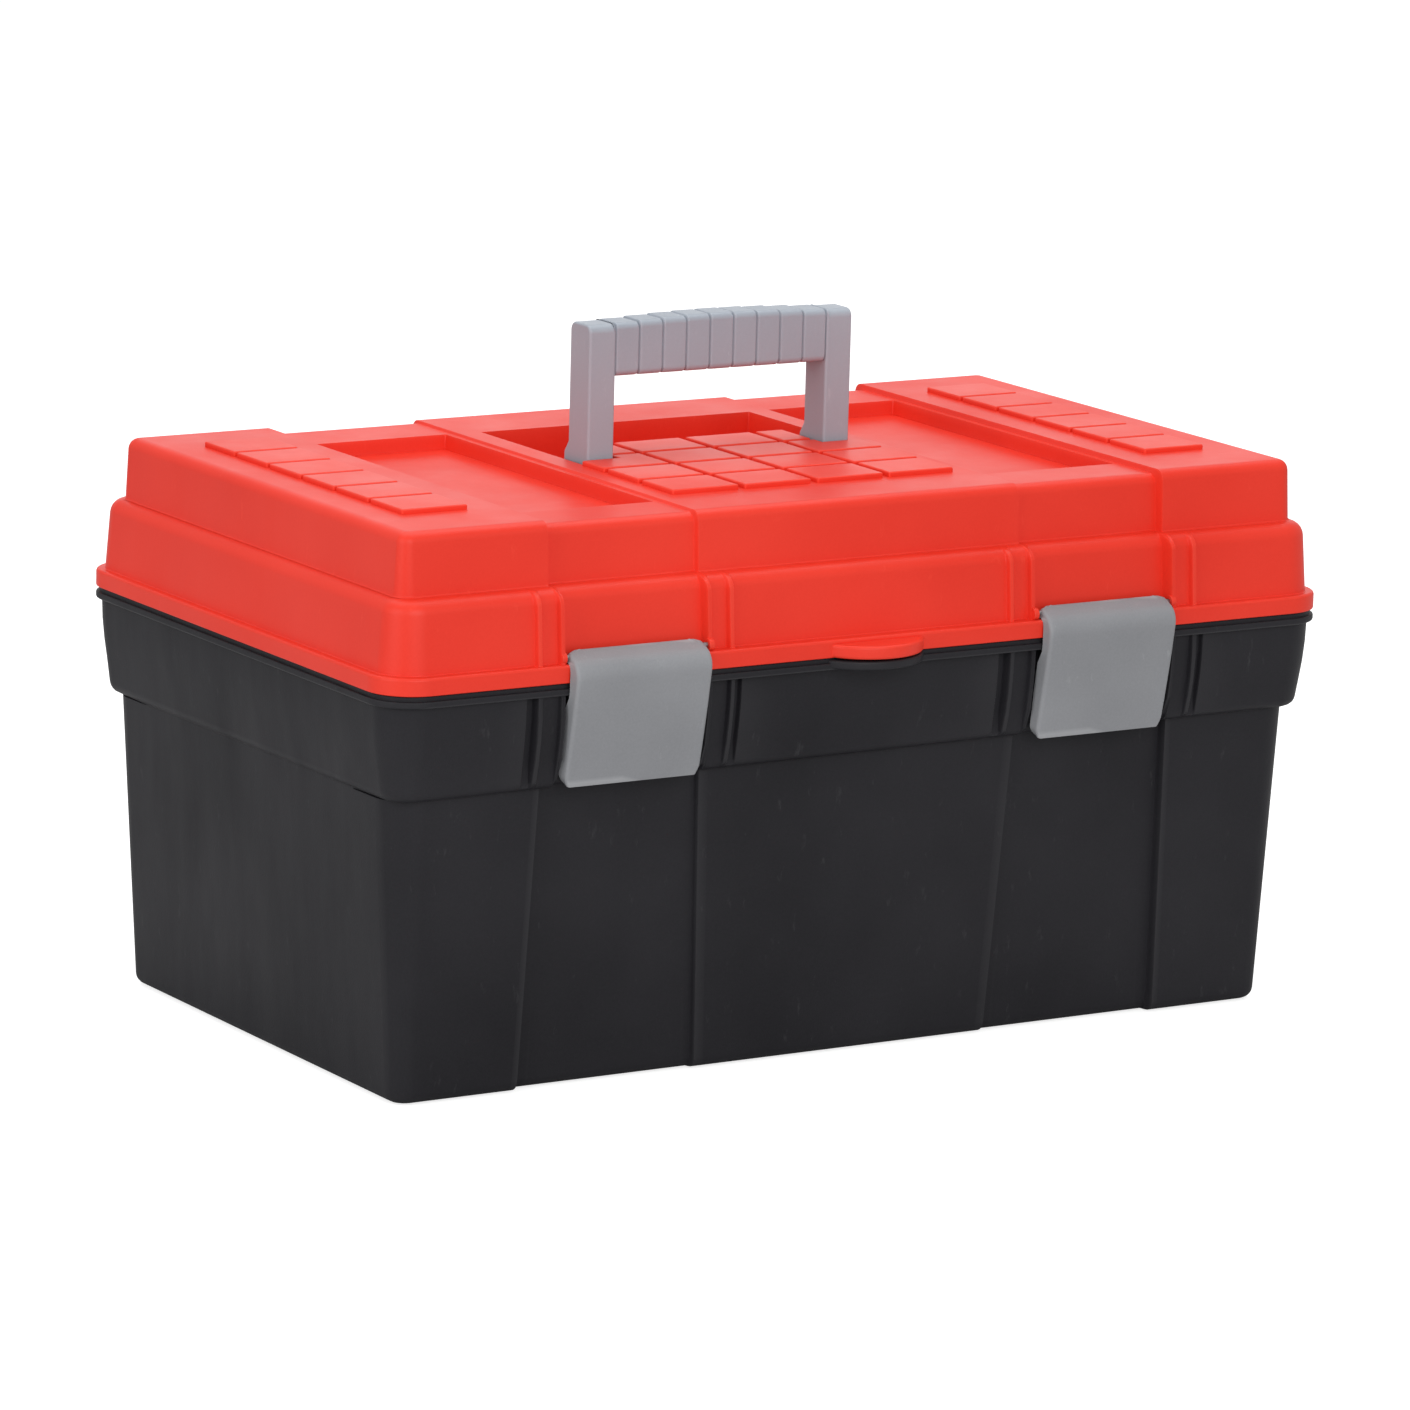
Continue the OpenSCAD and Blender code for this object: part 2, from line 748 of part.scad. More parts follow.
// Web with sloping shoulders that carries the tray's finger slot
module tray_grip(top) {
    translate([0, web_t / 2, 0])
        rotate([90, 0, 0])
            linear_extrude(web_t)
                polygon([
                    [-web_foot_half, tray_z + overlap], [web_foot_half, tray_z + overlap],
                    [web_foot_half, top - rib_drop], [web_top_half, web_z], [-web_top_half, web_z],
                    [-web_foot_half, top - rib_drop]
                ]);
}

base_shell();
lid_shell();
carry_handle();
latch_left();
latch_right();
hinge_pin_left();
hinge_pin_right();
latch_pin_left();
latch_pin_right();
handle_pin_left();
handle_pin_right();
lift_out_tray();
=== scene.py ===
"""Looks for the moulded plastic tool box: finer shells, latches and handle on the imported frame."""

from math import atan2, cos, hypot, pi, radians, sin, sqrt, tan

import bmesh
import bpy
from mathutils import Matrix, Vector


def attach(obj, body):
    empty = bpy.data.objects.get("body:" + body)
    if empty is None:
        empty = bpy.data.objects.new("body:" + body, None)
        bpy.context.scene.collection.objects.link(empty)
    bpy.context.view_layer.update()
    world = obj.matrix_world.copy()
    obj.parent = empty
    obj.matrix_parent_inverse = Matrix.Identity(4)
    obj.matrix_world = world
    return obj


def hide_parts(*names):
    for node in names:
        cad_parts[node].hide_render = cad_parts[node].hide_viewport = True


# Shapes are in millimetres, and SCALE turns them into the frame's metres
SCALE = 0.001

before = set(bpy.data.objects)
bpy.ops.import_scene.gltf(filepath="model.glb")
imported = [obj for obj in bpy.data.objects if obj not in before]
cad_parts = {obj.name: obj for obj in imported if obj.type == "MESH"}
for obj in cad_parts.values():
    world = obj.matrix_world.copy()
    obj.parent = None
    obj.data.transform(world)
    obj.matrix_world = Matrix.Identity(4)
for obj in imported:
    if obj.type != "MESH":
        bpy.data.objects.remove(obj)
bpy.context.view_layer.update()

# ---------------------------------------------------------------- sizes, as in the CAD

# Half lengths and half widths of the rectangles from which the walls are measured outward
RIM_CORNER = (197.0, 110.0)
TUB_CORNER = (191.9, 102.5)
UPPER_CORNER = (198.2, 109.0)
CORNERS = {"rim": RIM_CORNER, "tub": TUB_CORNER, "upper": UPPER_CORNER}
HALF_WIDTH = 128.0
FLANGE_R = 18.0
LID_WALL = 2.3
TUB_WALL = 2.4
GAP = 0.3

# Heights, from the floor of the tub to the top of the lid
FLOOR_TOP_Z = 2.6
COLLAR_Z = 121.0
BAND_Z = 157.5
BAND_TOP_Z = 160.2
RIM_Z = 162.0
TUB_LIP_Z = 167.0
FLANGE_TOP_Z = 169.3
SHOULDER_Z = 197.5
LID_TOP_Z = 222.0

# The latch bays and the middle stand back from the front face, and the lid's top drops there
BAY_BACK = 3.8
MIDDLE_BACK = 1.6
BAY_DROP = 2.0
MIDDLE_DROP = 1.0
LID_BAY = (73.5, 140.0)
# The tub's bays: where their grid lines start, and where these go at the collar and at the floor
TUB_BAY = (70.0, 145.0)
TUB_BAY_HIGH = (72.6, 143.4)
TUB_BAY_LOW = (67.2, 146.7)

# Upright fins on both sides of every bay, by the |x| of their middles
FIN_PLACES = (64.0, 74.0, 139.5, 149.5)
FIN_HALF = 1.15
FIN_OUT = 2.1

# Slots beside the collar's outer fins: their edges along |x| and their depth
COLLAR_SLOTS = ((59.2, 62.6), (150.9, 154.3))
COLLAR_SLOT_DEPTH = 1.9

# The collar's foot isn't quite level: it rises this much per millimetre along x and y, and by
# COLLAR_DROP everywhere. All of that fades out COLLAR_REACH above and below it.
COLLAR_RISE_X = 0.0065
COLLAR_RISE_Y = -0.004
COLLAR_DROP = -0.35
COLLAR_REACH = 14.0

# Recesses in the lid's top: a tray on each side, and the handle's pocket, whose slots run forward
TOP_TRAY_X = (76.5, 137.0)
TOP_TRAY_Y = (-83.0, 79.0)
TOP_TRAY_Z = 214.0
POCKET_HALF = 62.8
POCKET_Y = (22.0, 73.0)
POCKET_Z = 200.5
PLATEAU_HALF = 47.2
SLOT_Y = -9.0

# Axes, all along x: (y, z)
PIVOT = (0.75, 213.0)
HINGE_AXIS = (127.0, 162.15)
LATCH_AXIS = (-124.6, 171.5)
LATCH_X = 107.0

# ---------------------------------------------------------------- small maths

# A grid line this close to the one before it is left out
CLOSEST_LINES = 0.15
# A vertex isn't rounded where half the angle between its two lines is more than this
NEARLY_STRAIGHT = radians(88)


def smooth(t):
    """0 below -1, 1 above 1, and an S curve between."""
    t = min(max((t + 1) / 2, 0.0), 1.0)
    return t * t * (3 - 2 * t)


def plateaus(x, edges, values, soft):
    """Flat steps along |x|: values[i] up to edges[i], joined by S curves 2 x soft wide."""
    height = values[0]
    for i, edge in enumerate(edges):
        height += (values[i + 1] - values[i]) * smooth((abs(x) - edge) / soft)
    return height


def between(v, low, high, soft):
    """1 inside the stretch, 0 outside."""
    return smooth((v - low) / soft) * smooth((high - v) / soft)


def lines(edges, soft, end, step):
    """Grid lines from -end to end: five across each soft edge, and others no more than step apart."""
    wanted = {-end, end}
    for edge in edges:
        wanted.update(edge + soft * k / 2 for k in range(-2, 3))
    ordered = [-end]
    for v in sorted(w for w in wanted if -end < w < end):
        if v - ordered[-1] > CLOSEST_LINES and end - v > CLOSEST_LINES:
            ordered.append(v)
    ordered.append(end)
    out = []
    for a, b in zip(ordered, ordered[1:]):
        count = max(1, round((b - a) / step))
        out += [a + (b - a) * i / count for i in range(count)]
    return out + [end]


def both_signs(values):
    return [s * v for v in values for s in (-1, 1)]


def rounded(points, steps):
    """Turns each (r, z, radius, tag) vertex of a line into an arc of that radius.

    The answer is a list of (r, z, tag, share), where share goes from 0 to 1 along the arc, and
    is 0.5 at a vertex without one."""
    out = []
    for i, (r, z, radius, tag) in enumerate(points):
        here = Vector((r, z))
        if radius == 0 or i in (0, len(points) - 1):
            out.append((r, z, tag, 0.5))
            continue
        before = (Vector(points[i - 1][:2]) - here).normalized()
        after = (Vector(points[i + 1][:2]) - here).normalized()
        half = before.angle(after) / 2
        if half > NEARLY_STRAIGHT:
            out.append((r, z, tag, 0.5))
            continue
        centre = here + (before + after).normalized() * radius / sin(half)
        start = here + before * radius / tan(half) - centre
        turn = start.angle_signed(here + after * radius / tan(half) - centre)
        for k in range(steps + 1):
            a = -turn * k / steps
            x = start.x * cos(a) - start.y * sin(a)
            y = start.x * sin(a) + start.y * cos(a)
            p = centre + Vector((x, y))
            out.append((p.x, p.y, tag, k / steps))
    return out


# ---------------------------------------------------------------- mesh building

BEVELLED_ANGLE = radians(30)
WELD_DISTANCE = 1e-6
SHORTEST_EDGE = 1e-7
ROD_SIDES = 32


class Builder:
    """Collects vertices in millimetres and faces, then makes one object in metres."""

    def __init__(self):
        self.verts = []
        self.faces = []

    def add(self, verts, faces):
        base = len(self.verts)
        self.verts += verts
        self.faces += [[base + i for i in face] for face in faces]

    def grid(self, rows, closed=False):
        """Quads between rows of points, where each row has as many points."""
        count = len(rows[0])
        faces = []
        for j in range(len(rows) - 1):
            for i in range(count if closed else count - 1):
                k = (i + 1) % count
                here, above = j * count, (j + 1) * count
                faces.append([here + i, here + k, above + k, above + i])
        self.add([p for row in rows for p in row], faces)

    def prism(self, outline, low, high, axis, bevel, segments=3):
        """An outline pushed along an axis from low to high, with all its edges rounded."""
        bm = bmesh.new()
        place = {
            "x": lambda p, h: (h, p[0], p[1]),
            "z": lambda p, h: (p[0], p[1], h),
        }[axis]
        bottom = [bm.verts.new(place(p, low)) for p in outline]
        top = [bm.verts.new(place(p, high)) for p in outline]
        bm.faces.new(bottom[::-1])
        bm.faces.new(top)
        for i in range(len(outline)):
            k = (i + 1) % len(outline)
            bm.faces.new([bottom[i], bottom[k], top[k], top[i]])
        bmesh.ops.recalc_face_normals(bm, faces=bm.faces)
        sharp = [edge for edge in bm.edges if edge.calc_face_angle(0) > BEVELLED_ANGLE]
        bmesh.ops.bevel(
            bm,
            geom=sharp,
            offset=bevel,
            offset_type="OFFSET",
            segments=segments,
            profile=0.5,
            affect="EDGES",
            clamp_overlap=True,
        )
        bm.verts.index_update()
        verts = [tuple(v.co) for v in bm.verts]
        faces = [[v.index for v in f.verts] for f in bm.faces]
        bm.free()
        self.add(verts, faces)

    def box(self, low, high, bevel):
        outline = [(low[0], low[1]), (high[0], low[1]), (high[0], high[1]), (low[0], high[1])]
        self.prism(outline, low[2], high[2], "z", bevel)

    def rod(self, axis, radius, low, high, bevel):
        """A round bar along x, about the axis (y, z)."""
        turns = [2 * pi * i / ROD_SIDES for i in range(ROD_SIDES)]
        outline = [(axis[0] + radius * cos(a), axis[1] + radius * sin(a)) for a in turns]
        self.prism(outline, low, high, "x", bevel, 2)

    def make(self, name, sharp=38.0):
        """Makes the object, smooth except at edges sharper than that many degrees."""
        mesh = bpy.data.meshes.new(name)
        mesh.from_pydata([Vector(v) * SCALE for v in self.verts], [], self.faces)
        bm = bmesh.new()
        bm.from_mesh(mesh)
        bmesh.ops.remove_doubles(bm, verts=bm.verts, dist=WELD_DISTANCE)
        bmesh.ops.dissolve_degenerate(bm, edges=bm.edges, dist=SHORTEST_EDGE)
        bmesh.ops.recalc_face_normals(bm, faces=bm.faces)
        bm.to_mesh(mesh)
        bm.free()
        mesh.shade_smooth()
        mesh.set_sharp_from_angle(angle=radians(sharp))
        obj = bpy.data.objects.new(name, mesh)
        bpy.context.scene.collection.objects.link(obj)
        return obj


def add_modifier(obj, kind, **settings):
    modifier = obj.modifiers.new(kind.title(), kind)
    for key, value in settings.items():
        setattr(modifier, key, value)


# ---------------------------------------------------------------- perimeter of the shells

# Half the width of the slope at each step of a wall
SOFT = 0.45
CORNER_STEPS = 10
# Grid lines up to the first number stay where they are, and those up to the second one spread out
# to reach the corner
LINES_X = (180.0, 190.0)
LINES_Y = (90.0, 100.0)
ALONG_FRONT = {"front": -1, "back": 1}
ALONG_SIDE = {"left": -1, "right": 1}
# Further along the front than any bay or fin
FAR_ALONG = 999.0

FIN_EDGES = [place + s * FIN_HALF for place in FIN_PLACES for s in (-1, 1)]
RECESSES_Y = (*TOP_TRAY_Y, *POCKET_Y, SLOT_Y)
RECESS_EDGES_Y = [y + d for y in RECESSES_Y for d in (0.0, -LID_WALL, LID_WALL)]
SIDE_LINES = lines(RECESS_EDGES_Y, SOFT, LINES_Y[1], step=9.0)


def stations(front_lines, side_lines):
    """Once round the box, anticlockwise from the front left corner.

    Each is (side, place along it), or ("corner", angle, x sign, y sign)."""
    quarters = (
        ("front", front_lines[:-1], 1, -1),
        ("right", side_lines[:-1], 1, 1),
        ("back", front_lines[:0:-1], -1, 1),
        ("left", side_lines[:0:-1], -1, -1),
    )
    out = []
    for quarter, (side, places, sx, sy) in enumerate(quarters):
        out += [(side, place) for place in places]
        for k in range(CORNER_STEPS):
            angle = 90 * (quarter - 1) + 90 * k / CORNER_STEPS
            out.append(("corner", angle, sx, sy))
    return out


def stretch(v, ends, corner):
    """Moves the lines beyond ends[0], so that the one at ends[1] comes to the corner."""
    inner, end = ends
    if abs(v) <= inner:
        return v
    share = (abs(v) - inner) / (end - inner)
    return (inner + share * (corner - inner)) * (1 if v > 0 else -1)


def reach_out(station, corner, r, offset, warp=None):
    """The point at distance r outward of the corner-centre rectangle, plus the section's offset."""
    kind = station[0]
    if kind in ALONG_FRONT:
        side = ALONG_FRONT[kind]
        x = stretch(station[1], LINES_X, corner[0])
        if warp:
            x = warp(x)
        return x, side * (corner[1] + r + offset)
    if kind in ALONG_SIDE:
        side = ALONG_SIDE[kind]
        return side * (corner[0] + r), stretch(station[1], LINES_Y, corner[1])
    _, angle, sx, sy = station
    a = radians(angle)
    return sx * corner[0] + r * cos(a), sy * corner[1] + r * sin(a)


def section_x(station):
    """Where along the front or back a station is, or beyond every bay for the ends and corners."""
    return station[1] if station[0] in ALONG_FRONT else FAR_ALONG


def bay_offset(x, bay):
    """How far the front stands out at x, without its fins."""
    return plateaus(x, bay, (-MIDDLE_BACK, -BAY_BACK, 0.0), SOFT)


def fin_offset(x):
    """How far the front stands out at x, with its fins."""
    near = FIN_OUT - MIDDLE_BACK
    values = (-MIDDLE_BACK, near, -MIDDLE_BACK, near, -BAY_BACK, FIN_OUT, 0.0, FIN_OUT, 0.0)
    return plateaus(x, FIN_EDGES, values, SOFT)


# ---------------------------------------------------------------- lid

# Edges of the recesses along |x|, on the lid's top and on its underside
RECESS_EDGES_X = [PLATEAU_HALF, POCKET_HALF, *TOP_TRAY_X]
RECESS_EDGES_X += [PLATEAU_HALF - LID_WALL, POCKET_HALF + LID_WALL]
RECESS_EDGES_X += [TOP_TRAY_X[0] - LID_WALL, TOP_TRAY_X[1] + LID_WALL]
LID_EDGES = both_signs([*FIN_EDGES, *LID_BAY, *RECESS_EDGES_X])
LID_LINES = lines(LID_EDGES, SOFT, LINES_X[1], step=10.0)
LID_STATIONS = stations(LID_LINES, SIDE_LINES)

# The fins reach this far beyond RIM_CORNER near the flange, and fade over the shoulder's arc
FIN_LIMIT = 16.6
FIN_FADE_Z = SHOULDER_Z - 8.0


def lid_height(x):
    return LID_TOP_Z - plateaus(x, LID_BAY, (MIDDLE_DROP, BAY_DROP, 0.0), SOFT)


def recess(x, y, x_range, y_range, grow):
    """1 inside a rectangle made larger by grow, and 0 outside."""
    across = between(x, x_range[0] - grow, x_range[1] + grow, SOFT)
    return across * between(y, y_range[0] - grow, y_range[1] + grow, SOFT)


def lid_surface(x, y, wall):
    """Height of the lid's top, or of its underside where wall is the lid's thickness."""
    z = lid_height(x) - wall
    z += (TOP_TRAY_Z - wall - z) * recess(abs(x), y, TOP_TRAY_X, TOP_TRAY_Y, wall)
    pocket = recess(x, y, (-POCKET_HALF, POCKET_HALF), POCKET_Y, wall)
    slot = recess(abs(x), y, (PLATEAU_HALF, POCKET_HALF), (SLOT_Y, POCKET_Y[1]), wall)
    z += (POCKET_Z - wall - z) * max(pocket, slot)
    return z


def lid_section():
    """The lid's wall from the inside of its top, round the flange, to the outside of its top.

    Each vertex says how far out it is, its height, its radius, from which corner rectangle it is
    measured, and how the front's steps show there."""
    inner_top = LID_TOP_Z - LID_WALL
    inner_shoulder = SHOULDER_Z - LID_WALL
    bottom = RIM_Z + GAP
    vertices = [
        (0.0, inner_top, 0, ("upper", "top")),
        (2.7, inner_top, 2.1, ("upper", "top")),
        (3.7, inner_shoulder, 1.5, ("upper", "plain")),
        (10.2, inner_shoulder, 3.7, ("rim", "plain")),
        (12.1, bottom, 0.3, ("rim", "plain")),
        (FLANGE_R, bottom, 0.5, ("rim", "flat")),
        (FLANGE_R, FLANGE_TOP_Z, 1.3, ("rim", "flat")),
        (14.4, FLANGE_TOP_Z, 0.5, ("rim", "fin")),
        (12.3, SHOULDER_Z, 6.0, ("rim", "fin")),
        (6.0, SHOULDER_Z, 0.9, ("upper", "plain")),
        (4.9, LID_TOP_Z, 4.4, ("upper", "top")),
        (0.0, LID_TOP_Z, 0, ("upper", "top")),
    ]
    return rounded(vertices, 6)


def lid_row(point):
    r, z, (rectangle, kind), share = point
    row = []
    for station in LID_STATIONS:
        x = section_x(station)
        offset, drop = 0.0, 0.0
        if kind != "flat":
            offset = bay_offset(x, LID_BAY)
        if kind == "fin":
            fade = 1.0 if z < FIN_FADE_Z else 1 - share**2
            offset += (fin_offset(x) - bay_offset(x, LID_BAY)) * fade
            if z < FLANGE_TOP_Z + 1:
                offset = min(offset, FIN_LIMIT - r)
        if kind == "top":
            drop = LID_TOP_Z - lid_height(x)
        px, py = reach_out(station, CORNERS[rectangle], r, offset)
        row.append((px, py, z - drop))
    return row


def lid_sheet(wall):
    """Grid over the lid's top, whose edge meets the wall's last row."""
    rows = []
    for y in SIDE_LINES:
        row = []
        for x in LID_LINES:
            px = stretch(x, LINES_X, UPPER_CORNER[0])
            edge = UPPER_CORNER[1] + bay_offset(px, LID_BAY)
            py = stretch(y, LINES_Y, edge)
            row.append((px, py, lid_surface(px, py, wall)))
        rows.append(row)
    return rows


# Raised pads near both ends, and tiles on the plateau in two columns on each side of the middle
PAD_X = (155.5, 184.0)
PAD_PITCH = 27.2
PAD_D = 25.2
PAD_FIRST = -79.0
PADS = 6
TILE_X = ((1.5, 31.8), (34.6, 64.5))
TILE_PITCH = 26.2
TILE_D = 23.6
TILE_FIRST = -78.6
TILE_ROWS = 4
PAD_H = 2.0
PAD_SUNK = 0.6
PAD_BEVEL = 0.7


def tile_outline(near, far, front, back):
    """A tile in plan, cut back where the handle's slots and pocket are."""
    if far < PLATEAU_HALF or back < SLOT_Y:
        return [(near, front), (far, front), (far, back), (near, back)]
    if front > SLOT_Y:
        return [(near, front), (PLATEAU_HALF, front), (PLATEAU_HALF, back), (near, back)]
    notch = [(far, SLOT_Y), (PLATEAU_HALF, SLOT_Y), (PLATEAU_HALF, back)]
    return [(near, front), (far, front), *notch, (near, back)]


def raised_pads(lid):
    low, high = LID_TOP_Z - PAD_SUNK, LID_TOP_Z + PAD_H
    tile_z = LID_TOP_Z - MIDDLE_DROP
    tile_low, tile_high = tile_z - PAD_SUNK, tile_z + PAD_H
    for side in (-1, 1):
        x = sorted(side * v for v in PAD_X)
        for i in range(PADS):
            y = PAD_FIRST + i * PAD_PITCH
            lid.box((x[0], y, low), (x[1], y + PAD_D, high), PAD_BEVEL)
        for near, far in TILE_X:
            for i in range(TILE_ROWS):
                front = TILE_FIRST + i * TILE_PITCH
                outline = tile_outline(near, far, front, min(front + TILE_D, POCKET_Y[0]))
                mirrored = [(side * px, py) for px, py in outline]
                lid.prism(mirrored, tile_low, tile_high, "z", PAD_BEVEL)


# Thumb tabs under the middle of the front: the tub's one is shorter than the lid's
TAB_HALF = 21.0
LID_TAB_REACH = 12.0
TUB_TAB_REACH = 10.4
LID_TAB_Z = (RIM_Z + GAP + 0.1, FLANGE_TOP_Z - 1.6)
TUB_TAB_Z = (BAND_Z + 0.5, RIM_Z - 0.5)
LID_TAB_BEVEL = 1.2
TUB_TAB_BEVEL = 0.9
TAB_HALF_STEPS = 16
# How far the tab's arc and its back run on into the flange, in radians and in millimetres
TAB_EXTRA_ANGLE = 0.06
TAB_SUNK = 4.0


def tab(part, reach, heights, bevel):
    """Thumb tab: a segment of a circle in front of the flange."""
    r = (TAB_HALF**2 + reach**2) / (2 * reach)
    centre = r - reach - HALF_WIDTH
    half_angle = atan2(TAB_HALF, r - reach) + TAB_EXTRA_ANGLE
    turns = [half_angle * (k / TAB_HALF_STEPS - 1) for k in range(2 * TAB_HALF_STEPS + 1)]
    arc = [(r * sin(a), centre - r * cos(a)) for a in turns]
    back = -HALF_WIDTH + TAB_SUNK
    outline = arc + [(arc[-1][0], back), (arc[0][0], back)]
    part.prism(outline, heights[0], heights[1], "z", bevel)


# Hinge knuckles, from each hinge's middle to both sides: the lid's between the tub's
KNUCKLE_R = 3.6
KNUCKLE_BEVEL = 0.4
LID_KNUCKLE = (0.0, 8.0)
TUB_KNUCKLE = (8.4, 18.4)


def knuckles(part, reach):
    for side in (-1, 1):
        for half in (-1, 1):
            low, high = sorted(side * LATCH_X + half * r for r in reach)
            part.rod(HINGE_AXIS, KNUCKLE_R, low, high, KNUCKLE_BEVEL)


BOSS_R = 2.4
BOSS_STEP = 0.3
BOSS_BEVEL = 0.3


def latch_bosses(part):
    """Round bosses on the fins beside each latch, which take the ends of its pin."""
    for side in (-1, 1):
        for place, step in ((FIN_PLACES[1], BOSS_STEP), (FIN_PLACES[2], -BOSS_STEP)):
            middle = side * (place + step)
            part.rod(LATCH_AXIS, BOSS_R, middle - FIN_HALF, middle + FIN_HALF, BOSS_BEVEL)


def build_lid():
    lid = Builder()
    lid.grid([lid_row(p) for p in lid_section()], closed=True)
    lid.grid(lid_sheet(0.0))
    lid.grid(lid_sheet(LID_WALL))
    raised_pads(lid)
    tab(lid, LID_TAB_REACH, LID_TAB_Z, LID_TAB_BEVEL)
    knuckles(lid, LID_KNUCKLE)
    latch_bosses(lid)
    return lid.make("lid")


# ---------------------------------------------------------------- tub

SLOT_EDGES = [edge for slot in COLLAR_SLOTS for edge in slot]
TUB_EDGES = both_signs([*FIN_EDGES, *LID_BAY, *TUB_BAY, *SLOT_EDGES])
TUB_LINES = lines(TUB_EDGES, SOFT, LINES_X[1], step=12.0)
TUB_SIDE_LINES = lines([], SOFT, LINES_Y[1], step=14.0)
TUB_STATIONS = stations(TUB_LINES, TUB_SIDE_LINES)

# The collar's outside, from the band down: how far beyond RIM_CORNER, and its height
COLLAR_PROFILE = [(15.6, BAND_Z), (15.31, 149.1), (14.49, 140.75), (13.25, 132.4)]
# Its fins fade in between these heights, and reach no further beyond RIM_CORNER than the limit
FIN_FOOT = (COLLAR_Z + 2.0, COLLAR_Z + 7.0)
COLLAR_LIMIT = 17.1
# How far the tub's wall is beyond TUB_CORNER where it meets the collar, and the step in the rim
TUB_WALL_OUT = 14.8
RIM_STEP_OUT = 16.6


def tub_section():
    """From the middle of the floor inside, up and over the rim, and down to the underside.

    The vertices are like those of the lid's section."""
    inside = [
        (3.0, FLOOR_TOP_Z, 0, ("tub", "tub")),
        (5.9, FLOOR_TOP_Z, 2.1, ("tub", "tub")),
        (12.4, COLLAR_Z, 0.3, ("tub", "tub")),
        (2.0, COLLAR_Z, 0.4, ("rim", "plain")),
        (2.0, COLLAR_Z + TUB_WALL, 0.6, ("rim", "plain")),
        (9.5, COLLAR_Z + TUB_WALL, 2.4, ("rim", "plain")),
    ]
    inside += [(r - TUB_WALL, z, 5.0, ("rim", "plain")) for r, z in COLLAR_PROFILE[:0:-1]]
    rim = [
        (13.2, 156.5, 1.0, ("rim", "plain")),
        (9.6, 159.3, 0.3, ("rim", "plain")),
        (9.6, TUB_LIP_Z, 0.5, ("rim", "plain")),
        (11.6, TUB_LIP_Z, 0.5, ("rim", "plain")),
        (11.6, RIM_Z, 0.3, ("rim", "plain")),
        (RIM_STEP_OUT, RIM_Z, 0.4, ("rim", "flat")),
        (RIM_STEP_OUT, BAND_TOP_Z, 0.2, ("rim", "flat")),
        (FLANGE_R, BAND_TOP_Z, 0.6, ("rim", "flat")),
        (FLANGE_R, BAND_Z, 0.8, ("rim", "flat")),
    ]
    outside = [(*COLLAR_PROFILE[0], 0.6, ("rim", "fin"))]
    outside += [(r, z, 6.0, ("rim", "fin")) for r, z in COLLAR_PROFILE[1:]]
    outside += [
        (11.6, COLLAR_Z, 4.4, ("rim", "under")),
        (7.1, COLLAR_Z, 0, ("rim", "under")),
        (TUB_WALL_OUT, COLLAR_Z - 0.3, 0, ("tub", "foot")),
        (8.2, 0.0, 4.5, ("tub", "tub")),
        (3.0, 0.0, 0, ("tub", "tub")),
    ]
    return rounded(inside + rim + outside, 5)


def tub_warp(z):
    """The tub's bays get wider towards the floor: moves the lines at their edges."""
    share = min(max(z / COLLAR_Z, 0.0), 1.0)
    moved = [low + (high - low) * share for low, high in zip(TUB_BAY_LOW, TUB_BAY_HIGH)]
    end = TUB_CORNER[0]
    knots = [(0.0, 0.0), (TUB_BAY[0], moved[0]), (TUB_BAY[1], moved[1]), (end, end)]

    def warp(x):
        size = abs(x)
        for (a, a_to), (b, b_to) in zip(knots, knots[1:]):
            if size <= b:
                to = a_to + (b_to - a_to) * (size - a) / (b - a)
                return to if x > 0 else -to
        return x

    return warp


def collar_lift(x, y, z):
    """How much higher a point of the tub's outside is than it would be on a level collar."""
    near = max(0.0, 1 - abs(z - COLLAR_Z) / COLLAR_REACH)
    return near * (COLLAR_RISE_X * x + COLLAR_RISE_Y * y + COLLAR_DROP)


def slot_offset(x):
    """How far the slots beside the fins set the collar back at x."""
    cuts = []
    for low, high in COLLAR_SLOTS:
        cuts.append(smooth((abs(x) - low) / SOFT) - smooth((abs(x) - high) / SOFT))
    return -COLLAR_SLOT_DEPTH * max(cuts)


def tub_row(point):
    r, z, (rectangle, kind), _ = point
    bay = TUB_BAY if rectangle == "tub" else LID_BAY
    warp = tub_warp(z) if rectangle == "tub" else None
    warp_top = tub_warp(COLLAR_Z)
    fade = min(max((z - FIN_FOOT[0]) / (FIN_FOOT[1] - FIN_FOOT[0]), 0.0), 1.0)
    row = []
    for station in TUB_STATIONS:
        x = section_x(station)
        offset = 0.0 if kind == "flat" else bay_offset(x, bay)
        if kind in ("fin", "under"):
            offset += (fin_offset(x) - bay_offset(x, LID_BAY) + slot_offset(x)) * sqrt(fade)
            if z > BAND_Z - 1:
                offset = min(offset, COLLAR_LIMIT - r)
        px, py = reach_out(station, CORNERS[rectangle], r, offset, warp)
        if kind == "under":
            # the collar's rounded foot never goes behind the tub's own wall
            wall = reach_out(station, TUB_CORNER, TUB_WALL_OUT, bay_offset(x, TUB_BAY), warp_top)
            if station[0] in ALONG_FRONT:
                py = max(abs(py), abs(wall[1])) * ALONG_FRONT[station[0]]
            elif hypot(*wall) > hypot(px, py):
                px, py = wall
        outer = kind in ("fin", "under", "foot")
        row.append((px, py, z + collar_lift(px, py, z) if outer else z))
    return row


def build_tub():
    tub = Builder()
    rows = [tub_row(p) for p in tub_section()]
    tub.grid(rows, closed=True)
    for row in (rows[0], rows[-1]):
        tub.add(row, [list(range(len(row)))])
    tab(tub, TUB_TAB_REACH, TUB_TAB_Z, TUB_TAB_BEVEL)
    knuckles(tub, TUB_KNUCKLE)
    return tub.make("tub")


# ---------------------------------------------------------------- latches

